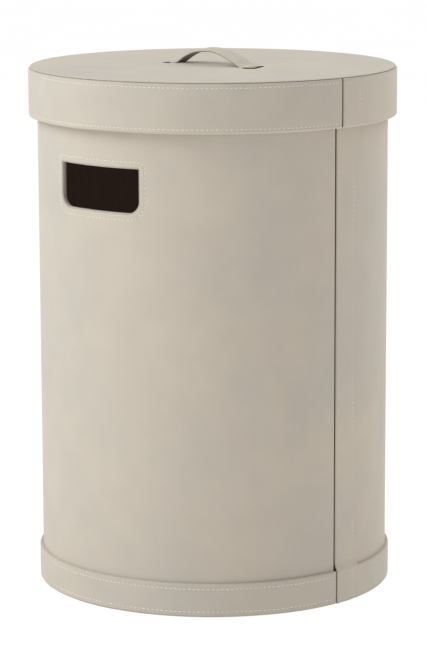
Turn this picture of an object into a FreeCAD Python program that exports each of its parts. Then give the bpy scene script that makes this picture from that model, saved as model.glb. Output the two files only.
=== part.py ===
import FreeCAD, Part
import Sketcher
from FreeCAD import Placement, Rotation, Vector

import math
import os

# Round lidded storage bin: a board tube covered in leather-look fabric, with a base band, two hand
# holes, and a lift-off lid that carries a strap handle.
# Millimetres. +Z is up, the origin is the middle of the underside, the hand holes face -X and +X,
# the strap runs along Y and the closing seam is near -Y. Angles are measured from +X about +Z.

doc = FreeCAD.newDocument("storage_bin")
sheet = doc.addObject("Spreadsheet::Sheet", "Sheet")

DRIVING_DIMENSIONS = {
    "overall_height": 562.0,      # floor to the top of the lid
    "lid_radius": 198.5,
    "lid_rim_height": 53.0,
    "body_radius": 189.0,         # outside of the cover on the tube
    "band_radius": 192.5,
    "band_height": 36.0,
    "cover": 1.2,                 # leather-look cover material
    "lining": 0.6,
    "wall_board": 3.0,            # rolled board of the tube
    "base_board": 4.0,
    "lid_board": 6.0,
    "lid_padding": 1.5,
    "lid_rim_board": 5.0,
    "lid_lining": 0.8,
    "edge_wrap": 1.0,             # thin strip wrapped round an open edge
    "turn_in": 14.0,              # how far an edge wrap reaches inside
    "top_seam_gap": 0.3,          # between the lid's top cover and its rim cover
    "top_cover_inset": 0.4,       # the top cover stops short of the rim's face
    "padding_inset": 2.0,         # the padding stops short of the lid board's edge
    "seam_angle": -91.8,          # middle of the closing strip
    "strip_sweep": 10.3,          # width of the closing strip, degrees
    "groove_sweep": 0.66,         # open groove along the strip's -X edge, degrees
    "band_gap_sweep": 0.45,       # the same groove across the base band, degrees
    "hole_width": 108.0,          # hand hole, straight across
    "hole_height": 48.5,
    "hole_top": 471.5,
    "hole_corner": 14.0,          # lower corners only, the upper ones are square
    "slot_offset": 56.0,          # strap slots, from the lid's axis
    "slot_length": 36.0,
    "slot_width": 3.6,
    "slot_bend_room": 2.4,        # the board's slots are wider, for the bend into the tail
    "strap_width": 22.0,
    "strap_thickness": 2.4,
    "strap_rise": 17.0,           # top of the strap above the lid
    "strap_slope": 27.0,          # of the strap where the arch begins, degrees
    "strap_foot": 1.6,            # height at which the arch begins, above the lid
    "strap_foot_bend": 3.5,       # bend radius from the slot into the arch
    "strap_tail": 32.0,           # flat end under the lid board
    "strap_tail_bend": 2.5,       # bend radius from the slot into the tail
    "tail_side_room": 1.0,        # round each tail in its recess
    "tail_clearance": 0.2,        # between a tail's staples and the lining below
    "staple_wire": 0.6,
    "staple_width": 10.0,
    "base_staple_leg": 9.0,
    "tail_staple_leg": 4.6,
    "tail_staple_near": 10.0,     # the two staples of a tail, from its slot
    "tail_staple_far": 24.0,
    "cut_margin": 10.0,           # how far a cutting block reaches past what it cuts
}
for row, (alias, number) in enumerate(DRIVING_DIMENSIONS.items(), start=1):
    sheet.set(f"A{row}", alias)
    sheet.set(f"B{row}", str(number))
    sheet.setAlias(f"B{row}", alias)
doc.recompute()

# Radii and heights worked out from the driving dimensions, as expressions on the sheet.
TUBE_OUTER = "(Sheet.body_radius - Sheet.cover)"
TUBE_INNER = "(Sheet.body_radius - Sheet.cover - Sheet.wall_board)"
LINING_INNER = f"({TUBE_INNER} - Sheet.lining)"
BAND_CORE_OUTER = "(Sheet.band_radius - Sheet.cover)"
BAND_CORE_TOP = "(Sheet.band_height - Sheet.cover)"
BASE_BOARD_TOP = "(Sheet.cover + Sheet.base_board)"
RIM_BOTTOM = "(Sheet.overall_height - Sheet.lid_rim_height)"
RIM_CORE_OUTER = "(Sheet.lid_radius - Sheet.cover)"
RIM_CORE_INNER = f"({RIM_CORE_OUTER} - Sheet.lid_rim_board)"
PADDING_TOP = "(Sheet.overall_height - Sheet.cover)"
LID_BOARD_TOP = f"({PADDING_TOP} - Sheet.lid_padding)"
LID_BOARD_BOTTOM = f"({LID_BOARD_TOP} - Sheet.lid_board)"
LID_UNDERSIDE = f"({LID_BOARD_BOTTOM} - Sheet.lid_lining)"
TUBE_TOP = f"({LID_UNDERSIDE} - Sheet.edge_wrap)"
STRIP_START = "(Sheet.seam_angle - Sheet.strip_sweep / 2)"
STRIP_END = "(Sheet.seam_angle + Sheet.strip_sweep / 2)"
COVER_SWEEP = "(360 - Sheet.strip_sweep - Sheet.groove_sweep)"
RECESS_DEPTH = "(Sheet.strap_thickness + Sheet.staple_wire + Sheet.tail_clearance)"
TINY = 0.01                       # two lengths closer than this are the same

subparts = {}


def value(expression):
    """The number that an expression on the sheet gives."""
    return float(sheet.evalExpression(expression))


def finish(piece, label):
    """Name a finished sub-part: the label is its file's name."""
    piece.Label = label
    subparts[label] = piece
    return piece


def turn_about_z(solid, angle):
    """Bind a solid's rotation about Z. The first turn sets the axis, which a zero turn would lose."""
    solid.Placement = Placement(Vector(0, 0, 0), Rotation(Vector(0, 0, 1), 1))
    solid.setExpression("Placement.Rotation.Angle", angle)


def disc(name, radius, bottom, top, start="0", sweep="360"):
    """A solid disc, or a sector of one that begins at the angle start."""
    solid = doc.addObject("Part::Cylinder", name)
    turn_about_z(solid, start)
    solid.setExpression("Radius", radius)
    solid.setExpression("Height", f"({top}) - ({bottom})")
    solid.setExpression("Angle", sweep)
    solid.setExpression("Placement.Base.z", bottom)
    return solid


def block(name, low, high):
    """A box between two corners, each given as three expressions."""
    solid = doc.addObject("Part::Box", name)
    for side, axis, start, end in zip(("Length", "Width", "Height"), "xyz", low, high):
        solid.setExpression(side, f"({end}) - ({start})")
        solid.setExpression(f"Placement.Base.{axis}", start)
    return solid


def cut(name, base, tool):
    result = doc.addObject("Part::Cut", name)
    result.Base = base
    result.Tool = tool
    return result


def common(name, base, tool):
    result = doc.addObject("Part::Common", name)
    result.Base = base
    result.Tool = tool
    return result


def group(name, pieces):
    result = doc.addObject("Part::Compound", name)
    result.Links = pieces
    return result


def ring(name, inner, outer, bottom, top, start="0", sweep="360"):
    """A hoop, or a sector of one, between two radii and two heights."""
    return cut(name, disc(f"{name}_outer", outer, bottom, top, start, sweep),
               disc(f"{name}_inner", inner, bottom, top))


def turned(name, outline, middle="0", sweep="360"):
    """A closed outline of (radius, height) corners turned about Z, centred on the angle middle."""
    body = doc.addObject("PartDesign::Body", name)
    plane = next(item for item in body.Origin.OriginFeatures if item.Role == "XZ_Plane")
    sketch = body.newObject("Sketcher::SketchObject", f"{name}_outline")
    sketch.AttachmentSupport = [(plane, "")]
    sketch.MapMode = "FlatFace"
    corners = [Vector(value(radius), value(height), 0) for radius, height in outline]
    for index, corner in enumerate(corners):
        following = corners[(index + 1) % len(corners)]
        sketch.addGeometry(Part.LineSegment(corner, following), False)
    for index, (radius, height) in enumerate(outline):
        following = (index + 1) % len(outline)
        sketch.addConstraint(Sketcher.Constraint("Coincident", index, 2, following, 1))
        for kind, size in (("DistanceX", radius), ("DistanceY", height)):
            if value(size) == 0:
                sketch.addConstraint(Sketcher.Constraint("PointOnObject", index, 1, -1))
                continue
            place = sketch.addConstraint(Sketcher.Constraint(kind, -1, 1, index, 1, value(size)))
            sketch.setExpression(f"Constraints[{place}]", size)
    turn = body.newObject("PartDesign::Revolution", f"{name}_turn")
    turn.Profile = sketch
    turn.ReferenceAxis = (sketch, ["V_Axis"])
    turn.Midplane = True
    turn.setExpression("Angle", sweep)
    sketch.Visibility = False
    turn_about_z(body, middle)
    return body


def hand_hole_block(name, margin, x_low, x_high):
    """The outline of a hand hole, smaller by margin all round, as a block along X."""
    half = f"(Sheet.hole_width / 2 - {margin})"
    low = (x_low, f"-{half}", f"Sheet.hole_top - Sheet.hole_height + {margin}")
    high = (x_high, half, f"Sheet.hole_top - {margin}")
    square = block(f"{name}_square", low, high)
    doc.recompute()
    rounded = doc.addObject("Part::Fillet", name)
    rounded.Base = square
    radius = value(f"Sheet.hole_corner - {margin}")
    floor = square.Shape.BoundBox.ZMin
    corners = []
    for number, edge in enumerate(square.Shape.Edges, start=1):
        box = edge.BoundBox
        if box.YLength < TINY and box.ZMax < floor + TINY:
            corners.append((number, radius, radius))
    rounded.Edges = corners
    return rounded


def rounded_path(corners, radii):
    """Straight runs through corners in the YZ plane, joined by tangent arcs of the given radii."""
    edges = []
    start = corners[0]
    for before, corner, after, radius in zip(corners, corners[1:], corners[2:], radii):
        inward = (before - corner).normalize()
        outward = (after - corner).normalize()
        half_angle = inward.getAngle(outward) / 2
        reach = radius / math.tan(half_angle)
        middle_line = (inward + outward).normalize()
        first = corner + inward * reach
        last = corner + outward * reach
        middle = corner + middle_line * (radius / math.sin(half_angle) - radius)
        if (first - start).Length > TINY:
            edges.append(Part.LineSegment(start, first).toShape())
        edges.append(Part.Arc(first, middle, last).toShape())
        start = last
    edges.append(Part.LineSegment(start, corners[-1]).toShape())
    return Part.Wire(edges)


def strap_solid():
    """The strap: tail, up through a slot, over in one arch, down through the other slot, tail."""
    half = value("Sheet.strap_thickness") / 2
    offset = value("Sheet.slot_offset")
    top = value("Sheet.overall_height")
    tail_height = value(f"{LID_BOARD_BOTTOM} + {RECESS_DEPTH}") - half
    foot_height = top + value("Sheet.strap_foot")
    crown_height = top + value("Sheet.strap_rise") - half
    slope = math.radians(value("Sheet.strap_slope"))
    peak_height = foot_height + offset * math.tan(slope)
    arch_radius = (peak_height - crown_height) / (1 / math.cos(slope) - 1)
    tail_bend = value("Sheet.strap_tail_bend")
    foot_bend = value("Sheet.strap_foot_bend")
    tail_end = offset + value("Sheet.strap_tail")
    corners = [
        Vector(0, -tail_end, tail_height),
        Vector(0, -offset, tail_height),
        Vector(0, -offset, foot_height),
        Vector(0, 0, peak_height),
        Vector(0, offset, foot_height),
        Vector(0, offset, tail_height),
        Vector(0, tail_end, tail_height),
    ]
    radii = (tail_bend, foot_bend, arch_radius, foot_bend, tail_bend)
    path = rounded_path(corners, radii)
    half_width = value("Sheet.strap_width") / 2
    section = Part.makePolygon([
        Vector(-half_width, -tail_end, tail_height - half),
        Vector(half_width, -tail_end, tail_height - half),
        Vector(half_width, -tail_end, tail_height + half),
        Vector(-half_width, -tail_end, tail_height + half),
        Vector(-half_width, -tail_end, tail_height - half),
    ])
    return path.makePipeShell([section], True, True)


def staple(name, placement, leg):
    """A wire staple: the crown lies along its local X, the legs run along its local +Z."""
    wire = "Sheet.staple_wire"
    half = "Sheet.staple_width / 2"
    crown = block(f"{name}_crown", (f"-{half}", f"-{wire} / 2", "0"), (half, f"{wire} / 2", wire))
    left = block(f"{name}_leg_a", (f"-{half}", f"-{wire} / 2", wire),
                 (f"-{half} + {wire}", f"{wire} / 2", leg))
    right = block(f"{name}_leg_b", (f"{half} - {wire}", f"-{wire} / 2", wire),
                  (half, f"{wire} / 2", leg))
    whole = doc.addObject("Part::MultiFuse", name)
    whole.Shapes = [crown, left, right]
    whole.Refine = True
    whole.Placement = placement
    return whole


# Staples that hold the base board in the tube, hidden under the base band.
base_staples = []
BASE_STAPLE_COUNT = 12
BASE_STAPLE_SINK = 0.1            # keeps the straight crown inside the round wall
for index in range(BASE_STAPLE_COUNT):
    angle = 360 * (index + 0.5) / BASE_STAPLE_COUNT
    spin = Rotation(Vector(0, 0, 1), angle)
    inward = Rotation(Vector(0, 1, 0), -90)
    level = Rotation(Vector(0, 0, 1), 90)
    crown_radius = value(TUBE_OUTER) - BASE_STAPLE_SINK
    seat = spin.multVec(Vector(crown_radius, 0, value("Sheet.cover + Sheet.base_board / 2")))
    place = Placement(seat, spin.multiply(inward).multiply(level))
    base_staples.append(staple(f"base_staple_{index + 1}", place, "Sheet.base_staple_leg"))
base_staple_group = finish(group("base_staples", base_staples), "base_staples")

# Staples through the strap's two tails, up into the lid board.
strap_staples = []
for side in (-1, 1):
    for reach in ("Sheet.tail_staple_near", "Sheet.tail_staple_far"):
        height = value(f"{LID_BOARD_BOTTOM} + Sheet.tail_clearance")
        seat = Vector(0, side * value(f"Sheet.slot_offset + {reach}"), height)
        name = f"strap_staple_{len(strap_staples) + 1}"
        strap_staples.append(staple(name, Placement(seat, Rotation()), "Sheet.tail_staple_leg"))
strap_staple_group = finish(group("strap_staples", strap_staples), "strap_staples")

# Bin: tube, lining, cover and closing strip.
through_low = "-(Sheet.body_radius + Sheet.cut_margin)"
through_high = "Sheet.body_radius + Sheet.cut_margin"
hole_cutter = hand_hole_block("hole_cutter", "0", through_low, through_high)

tube = ring("tube", TUBE_INNER, TUBE_OUTER, "Sheet.cover", TUBE_TOP)
tube_open = cut("tube_open", tube, hole_cutter)
finish(cut("wall_core", tube_open, base_staple_group), "wall_core")

lining_tube = ring("lining_tube", LINING_INNER, TUBE_INNER, BASE_BOARD_TOP, TUBE_TOP)
finish(cut("wall_lining", lining_tube, hole_cutter), "wall_lining")

cover_tube = ring("cover_tube", TUBE_OUTER, "Sheet.body_radius", "Sheet.cover", TUBE_TOP,
                  STRIP_END, COVER_SWEEP)
finish(cut("outer_cover", cover_tube, hole_cutter), "outer_cover")

SEAM_STRIP_OUTLINE = [
    (TUBE_OUTER, TUBE_TOP),
    ("Sheet.body_radius", TUBE_TOP),
    ("Sheet.body_radius", "Sheet.band_height"),
    ("Sheet.band_radius", "Sheet.band_height"),
    ("Sheet.band_radius", "0"),
    (TUBE_OUTER, "0"),
    (TUBE_OUTER, "Sheet.cover"),
    (BAND_CORE_OUTER, "Sheet.cover"),
    (BAND_CORE_OUTER, BAND_CORE_TOP),
    (TUBE_OUTER, BAND_CORE_TOP),
]

# Wrapped edges of the two hand holes.
hole_wall = ring("hole_wall", LINING_INNER, "Sheet.body_radius",
                 "Sheet.hole_top - Sheet.hole_height", "Sheet.hole_top")
for side, x_low, x_high in (("left", through_low, "0"), ("right", "0", through_high)):
    outside = hand_hole_block(f"binding_{side}_outside", "0", x_low, x_high)
    inside = hand_hole_block(f"binding_{side}_inside", "Sheet.edge_wrap", x_low, x_high)
    frame = cut(f"binding_{side}_frame", outside, inside)
    finish(common(f"binding_{side}", hole_wall, frame), f"hand_hole_binding_{side}")

# Base: board, lining, underside and band.
base_disc = disc("base_disc", TUBE_INNER, "Sheet.cover", BASE_BOARD_TOP)
finish(cut("base_board", base_disc, base_staple_group), "base_board")
finish(disc("base_lining", LINING_INNER, BASE_BOARD_TOP, f"({BASE_BOARD_TOP} + Sheet.lining)"),
       "base_lining")
finish(disc("underside_cover", TUBE_OUTER, "0", "Sheet.cover"), "underside_cover")
finish(ring("base_band_core", "Sheet.body_radius", BAND_CORE_OUTER, "Sheet.cover", BAND_CORE_TOP),
       "base_band_core")

BAND_COVER_OUTLINE = [
    ("Sheet.body_radius", "Sheet.band_height"),
    ("Sheet.band_radius", "Sheet.band_height"),
    ("Sheet.band_radius", "0"),
    (TUBE_OUTER, "0"),
    (TUBE_OUTER, "Sheet.cover"),
    (BAND_CORE_OUTER, "Sheet.cover"),
    (BAND_CORE_OUTER, BAND_CORE_TOP),
    ("Sheet.body_radius", BAND_CORE_TOP),
]

TOP_BINDING_OUTLINE = [
    (f"{LINING_INNER} - Sheet.edge_wrap", LID_UNDERSIDE),
    ("Sheet.body_radius + Sheet.edge_wrap", LID_UNDERSIDE),
    ("Sheet.body_radius + Sheet.edge_wrap", f"{LID_UNDERSIDE} - Sheet.turn_in"),
    ("Sheet.body_radius", f"{LID_UNDERSIDE} - Sheet.turn_in"),
    ("Sheet.body_radius", TUBE_TOP),
    (LINING_INNER, TUBE_TOP),
    (LINING_INNER, f"{LID_UNDERSIDE} - Sheet.turn_in"),
    (f"{LINING_INNER} - Sheet.edge_wrap", f"{LID_UNDERSIDE} - Sheet.turn_in"),
]

# Lid rim: cover turned under the lower edge and up inside. Its top edge meets the edge of the
# lid's top cover in a narrow seam.
RIM_TURN_TOP = f"({RIM_BOTTOM} + Sheet.turn_in)"
RIM_COVER_TOP = f"({PADDING_TOP} - Sheet.top_seam_gap)"
RIM_COVER_OUTLINE = [
    ("Sheet.lid_radius", RIM_BOTTOM),
    ("Sheet.lid_radius", RIM_COVER_TOP),
    (RIM_CORE_OUTER, RIM_COVER_TOP),
    (RIM_CORE_OUTER, f"{RIM_BOTTOM} + Sheet.cover"),
    (RIM_CORE_INNER, f"{RIM_BOTTOM} + Sheet.cover"),
    (RIM_CORE_INNER, RIM_TURN_TOP),
    (f"{RIM_CORE_INNER} - Sheet.cover", RIM_TURN_TOP),
    (f"{RIM_CORE_INNER} - Sheet.cover", RIM_BOTTOM),
]

COVER_MIDDLE = "Sheet.seam_angle + 180 - Sheet.groove_sweep / 2"
BAND_MIDDLE = "Sheet.seam_angle + 180 - Sheet.band_gap_sweep / 2"
BAND_SWEEP = "360 - Sheet.strip_sweep - Sheet.band_gap_sweep"
for label, outline, middle, sweep in (
        ("seam_strip", SEAM_STRIP_OUTLINE, "Sheet.seam_angle", "Sheet.strip_sweep"),
        ("base_band_cover", BAND_COVER_OUTLINE, BAND_MIDDLE, BAND_SWEEP),
        ("top_edge_binding", TOP_BINDING_OUTLINE, "0", "360"),
        ("lid_rim_cover", RIM_COVER_OUTLINE, COVER_MIDDLE, COVER_SWEEP),
        ("lid_seam_strip", RIM_COVER_OUTLINE, "Sheet.seam_angle", "Sheet.strip_sweep")):
    finish(turned(label, outline, middle, sweep), label)

finish(ring("lid_rim_core", RIM_CORE_INNER, RIM_CORE_OUTER, f"({RIM_BOTTOM} + Sheet.cover)",
            LID_BOARD_BOTTOM), "lid_rim_core")
finish(ring("lid_rim_lining", f"({RIM_CORE_INNER} - Sheet.lid_lining)", RIM_CORE_INNER,
            RIM_TURN_TOP, LID_BOARD_BOTTOM), "lid_rim_lining")
finish(disc("lid_underside_lining", f"({RIM_CORE_INNER} - Sheet.lid_lining)", LID_UNDERSIDE,
            LID_BOARD_BOTTOM), "lid_underside_lining")

# Lid top: board with slots and tail recesses, padding and cover with slots, strap.
half_slot = "Sheet.slot_length / 2"
slot_near = "(Sheet.slot_offset - Sheet.slot_width / 2)"
slot_far = "(Sheet.slot_offset + Sheet.slot_width / 2)"
tail_end = "(Sheet.slot_offset + Sheet.strap_tail + Sheet.tail_side_room)"
tail_room = "(Sheet.strap_width / 2 + Sheet.tail_side_room)"
slot_top = "Sheet.overall_height + Sheet.cut_margin"
recess_top = f"({LID_BOARD_BOTTOM} + {RECESS_DEPTH})"
slots = []
recesses = []
for side, sign in (("front", "-"), ("back", "")):
    near, far, end = f"{sign}{slot_near}", f"{sign}{slot_far}", f"{sign}{tail_end}"
    board_far = f"{sign}({slot_far} + Sheet.slot_bend_room)"
    y_low, y_high = (far, near) if sign else (near, far)
    wide_low, wide_high = (board_far, near) if sign else (near, board_far)
    tail_low, tail_high = (end, near) if sign else (near, end)
    slots.append(block(f"slot_{side}", (f"-{half_slot}", y_low, LID_BOARD_TOP),
                       (half_slot, y_high, slot_top)))
    recesses.append(block(f"board_slot_{side}", (f"-{tail_room}", wide_low, LID_BOARD_BOTTOM),
                          (tail_room, wide_high, LID_BOARD_TOP)))
    recesses.append(block(f"tail_recess_{side}", (f"-{tail_room}", tail_low, LID_BOARD_BOTTOM),
                          (tail_room, tail_high, recess_top)))
slot_cutter = group("slot_cutter", slots)
recess_cutter = group("recess_cutter", recesses)

board_disc = disc("board_disc", RIM_CORE_OUTER, LID_BOARD_BOTTOM, LID_BOARD_TOP)
board_slotted = cut("board_slotted", board_disc, recess_cutter)
finish(cut("lid_top_board", board_slotted, strap_staple_group), "lid_top_board")
padding_disc = disc("padding_disc", f"({RIM_CORE_OUTER} - Sheet.padding_inset)", LID_BOARD_TOP,
                    PADDING_TOP)
finish(cut("lid_top_padding", padding_disc, slot_cutter), "lid_top_padding")
cover_disc = disc("cover_disc", "(Sheet.lid_radius - Sheet.top_cover_inset)", PADDING_TOP,
                  "Sheet.overall_height")
finish(cut("lid_top_cover", cover_disc, slot_cutter), "lid_top_cover")

strap_blank = doc.addObject("Part::Feature", "strap_blank")
strap_blank.Shape = strap_solid()
finish(cut("handle_strap", strap_blank, strap_staple_group), "handle_strap")

doc.recompute()
for item in doc.Objects:
    if "Invalid" in item.State or "Error" in item.State:
        raise RuntimeError(f"{item.Name} did not build: {item.State}")
for label, piece in subparts.items():
    if piece.Shape.isNull() or not piece.Shape.isValid() or not piece.Shape.Solids:
        raise RuntimeError(f"{label} has no valid shape")

os.makedirs("parts", exist_ok=True)
for label, piece in subparts.items():
    piece.Shape.exportStep(f"parts/{label}.step")
    volume = piece.Shape.Volume / 1000
    print(f"{label}: {len(piece.Shape.Solids)} solid(s), {volume:.1f} cm3")
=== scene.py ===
import math

import bmesh
import bpy
import numpy as np
from mathutils import Matrix, Vector


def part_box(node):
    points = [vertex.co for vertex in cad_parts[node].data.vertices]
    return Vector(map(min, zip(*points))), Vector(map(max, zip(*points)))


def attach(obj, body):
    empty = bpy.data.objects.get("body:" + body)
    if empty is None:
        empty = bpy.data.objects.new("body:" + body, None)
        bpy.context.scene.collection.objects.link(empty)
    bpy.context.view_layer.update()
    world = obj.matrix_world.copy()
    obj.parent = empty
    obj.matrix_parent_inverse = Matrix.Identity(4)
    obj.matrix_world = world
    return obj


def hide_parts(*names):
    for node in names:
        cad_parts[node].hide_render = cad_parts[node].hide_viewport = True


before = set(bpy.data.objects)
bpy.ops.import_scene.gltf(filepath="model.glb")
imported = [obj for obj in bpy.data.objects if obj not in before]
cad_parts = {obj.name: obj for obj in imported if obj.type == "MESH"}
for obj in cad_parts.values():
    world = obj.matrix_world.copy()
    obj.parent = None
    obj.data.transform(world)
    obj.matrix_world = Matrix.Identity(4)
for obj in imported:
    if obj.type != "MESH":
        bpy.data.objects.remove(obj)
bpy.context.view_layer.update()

MM = 0.001
TAU = 2 * math.pi


# ---- sizes, all from the frame
def low(node):
    return np.array(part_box(node)[0], float)


def high(node):
    return np.array(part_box(node)[1], float)


def outer_radius(node):
    """The largest reach of a round node in plan."""
    return float(max(np.abs(low(node)[:2]).max(), np.abs(high(node)[:2]).max()))


COVER = high("underside_cover")[2]                       # thickness of the cover material
BODY_R = outer_radius("outer_cover")
TUBE_R = BODY_R - COVER
BAND_R = outer_radius("base_band_cover")
BAND_CORE_R = BAND_R - COVER
BAND_TOP = high("base_band_cover")[2]
LINING_OUT_R = outer_radius("wall_lining")
LINING_IN_R = outer_radius("base_lining")
LINING = LINING_OUT_R - LINING_IN_R
RIM_R = outer_radius("lid_rim_cover")
RIM_CORE_R = RIM_R - COVER
RIM_INNER_R = outer_radius("lid_rim_lining")             # inside face of the rim board
RIM_LINING_R = outer_radius("lid_underside_lining")
RIM_BOTTOM = low("lid_rim_cover")[2]
RIM_TURN_TOP = low("lid_rim_lining")[2]
RIM_TOP = high("lid_rim_cover")[2]
LID_TOP = high("lid_top_cover")[2]
LID_COVER_R = outer_radius("lid_top_cover")
LID_BOARD_BOTTOM = low("lid_top_board")[2]
LID_UNDERSIDE = low("lid_underside_lining")[2]
TUBE_TOP = high("wall_core")[2]
BINDING_LOW = low("top_edge_binding")[2]
BASE_TOP = low("base_lining")[2]
HOLE_LOW = low("hand_hole_binding_left")
HOLE_HIGH = high("hand_hole_binding_left")
HOLE_HALF = (HOLE_HIGH[1] - HOLE_LOW[1]) / 2
HOLE_RISE = (HOLE_HIGH[2] - HOLE_LOW[2]) / 2
HOLE_Z = (HOLE_HIGH[2] + HOLE_LOW[2]) / 2
STRIP_LEFT = -math.acos(low("seam_strip")[0] / BAND_R)   # plan angles of the closing strip
STRIP_RIGHT = -math.acos(high("seam_strip")[0] / BAND_R)
STRAP_HALF = (high("handle_strap")[0] - low("handle_strap")[0]) / 2
STRAP_TAIL_END = high("handle_strap")[1]
STRAP_TOP = high("handle_strap")[2]
STRAP_LOW = low("handle_strap")[2]

HOLE_CORNER = 14 * MM
HOLE_TOP_CORNER = 1.6 * MM
EDGE_WRAP = 1.0 * MM
GROOVE_ANGLE = math.radians(0.66)
BAND_GAP_ANGLE = math.radians(0.45)
STRAP_TAIL = 32 * MM                 # length of either end under the lid board
SLOT_OFFSET = STRAP_TAIL_END - STRAP_TAIL
SLOT_HALF_LENGTH = 18 * MM
SLOT_HALF_WIDTH = 1.8 * MM
SLOT_CORNER = 1.2 * MM
SLOT_STEP = 1.6 * MM                 # grid step round a slot
STRAP_THICKNESS = 2.4 * MM


# ---- mesh helpers
def add_mesh(name, points, faces, smooth_angle=40):
    mesh = bpy.data.meshes.new(name)
    mesh.from_pydata([tuple(map(float, p)) for p in points], [], [tuple(map(int, f)) for f in faces])
    mesh.validate()
    shape = bmesh.new()
    shape.from_mesh(mesh)
    bmesh.ops.recalc_face_normals(shape, faces=shape.faces)
    shape.to_mesh(mesh)
    shape.free()
    mesh.shade_smooth()
    mesh.set_sharp_from_angle(angle=math.radians(smooth_angle))
    obj = bpy.data.objects.new(name, mesh)
    bpy.context.scene.collection.objects.link(obj)
    return obj


def tube_faces(around, rings, base=0, closed=False):
    """Faces that join rings of vertices into a tube."""
    faces = []
    for i in range(rings if closed else rings - 1):
        here, there = base + i * around, base + (i + 1) % rings * around
        for k in range(around):
            n = (k + 1) % around
            faces.append((here + k, here + n, there + n, there + k))
    return faces


def spaced(start, end, step):
    """Evenly spaced lines from start to end, at most step apart."""
    return np.linspace(start, end, int(math.ceil((end - start) / step)) + 1)


def joined(stops, steps):
    """Lines over a row of stretches, each with its own step."""
    parts = [spaced(*stretch) for stretch in zip(stops, stops[1:], steps)]
    return np.concatenate([parts[0]] + [part[1:] for part in parts[1:]])


def nearest(marks, place):
    return int(np.argmin(np.abs(marks - place)))


def close_marks(fine):
    """Close lines round each fine place, given as (place, reach)."""
    return [place + share * reach for place, reach in fine for share in (-2, -1, -0.5, 0, 0.5, 1, 2)]


def thinned(marks, start, end, closest):
    """The marks from start to end, without those nearer than that to the one before."""
    marks = sorted(m for m in marks if start <= m <= end)
    kept = [marks[0]]
    for mark in marks[1:]:
        if mark - kept[-1] > closest:
            kept.append(mark)
    kept[-1] = end
    return np.array(kept)


EDGE_LINES = (0.134, 0.5, 1.0, 1.8)  # distances of the lines near an end, in edge radii


def lines(start, end, step, edge=0.0, fine=()):
    """Grid lines about step apart, with close ones near both ends and round each fine place."""
    marks = list(spaced(start, end, step)) + close_marks(fine)
    if edge:
        marks += [at for share in EDGE_LINES for at in (start + share * edge, end - share * edge)]
    return thinned(marks, start, end, 0.13 * (edge or step))


def round_edge(distance, radius):
    """How far a rounded edge lies below the flat face, at that distance from the edge."""
    inside = np.clip(radius - distance, 0, radius)
    return radius - np.sqrt(np.maximum(radius ** 2 - inside ** 2, 0))


def unit(vectors):
    return vectors / np.linalg.norm(vectors, axis=1)[:, None]


def hump(x, width):
    return np.exp(-(np.asarray(x) / width) ** 2)


class Flat:
    """A flat pattern of quads in (u, v), which a place function then puts on the object."""

    def __init__(self):
        self.u, self.v, self.edge, self.faces = [], [], [], []

    def add(self, u, v, edge=1.0):
        self.u.append(u)
        self.v.append(v)
        self.edge.append(edge)
        return len(self.u) - 1

    def grid(self, us, vs, closed=False, blocks=()):
        """A grid with blocks (i0, i1, j0, j1) left out of it."""
        index = np.array([[self.add(u, v) for v in vs] for u in us[:-1 if closed else None]])
        for i in range(len(us) - 1):
            k = (i + 1) % len(index) if closed else i + 1
            for j in range(len(vs) - 1):
                if not any(i0 <= i < i1 and j0 <= j < j1 for i0, i1, j0, j1 in blocks):
                    self.faces.append((index[i, j], index[k, j], index[k, j + 1], index[i, j + 1]))
        return index

    def boundary(self, index, i0, i1, j0, j1):
        """The ring of vertices round a block of a grid."""
        ring = [index[i, j0] for i in range(i0, i1)] + [index[i1, j] for j in range(j0, j1)]
        return ring + [index[i, j1] for i in range(i1, i0, -1)] + [index[i0, j] for j in range(j1, j0, -1)]

    def loop(self, ring, points, edge=1.0):
        """Joins a closed ring of vertices to a new ring inside it, and returns the new one."""
        new = [self.add(u, v, edge) for u, v in points]
        for k in range(len(ring)):
            n = (k + 1) % len(ring)
            self.faces.append((ring[k], ring[n], new[n], new[k]))
        return new

    def arrays(self):
        return np.array(self.u), np.array(self.v), np.array(self.edge)

    def distances(self, known):
        """For each vertex its known distance from a cut-out, or a metre."""
        distance = np.full(len(self.u), 1.0)
        distance[list(known)] = list(known.values())
        return distance


def shell(name, flat, outer, inner, place):
    """A closed sheet: the pattern at height outer and at height inner, joined along every free edge."""
    u, v, _ = flat.arrays()
    count = len(u)
    points = np.concatenate([place(u, v, outer), place(u, v, inner)])
    faces = list(flat.faces)
    directed = {(f[k], f[(k + 1) % 4]) for f in flat.faces for k in range(4)}
    below = [tuple(x + count for x in reversed(f)) for f in flat.faces]
    sides = [(b, a, a + count, b + count) for a, b in directed if (b, a) not in directed]
    faces += below + sides
    used = np.zeros(2 * count, bool)
    used[np.array(faces).ravel()] = True
    renumber = np.cumsum(used) - 1
    return add_mesh(name, points[used], [tuple(renumber[x] for x in f) for f in faces])


def on_cylinder(theta, radius, z):
    return np.stack([radius * np.cos(theta), radius * np.sin(theta), z], 1)


def soft_waves(seed, amplitude, turns=(2, 9), rise=(3, 14)):
    """A smooth unevenness over angle and height, the same each run."""
    draw = np.random.RandomState(seed)
    waves = [(draw.randint(*turns), draw.uniform(*rise) * draw.choice((-1, 1)), draw.uniform(0, TAU),
              draw.uniform(0.4, 1.0)) for _ in range(9)]
    total = sum(w[3] for w in waves)

    def height(theta, z):
        return amplitude / total * sum(a * np.sin(n * theta + q * z + phase) for n, q, phase, a in waves)
    return height


def along(marks, length_at, rows):
    """The rows of values at those lengths."""
    return np.stack([np.interp(marks, length_at, column) for column in rows.T], 1)


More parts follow.
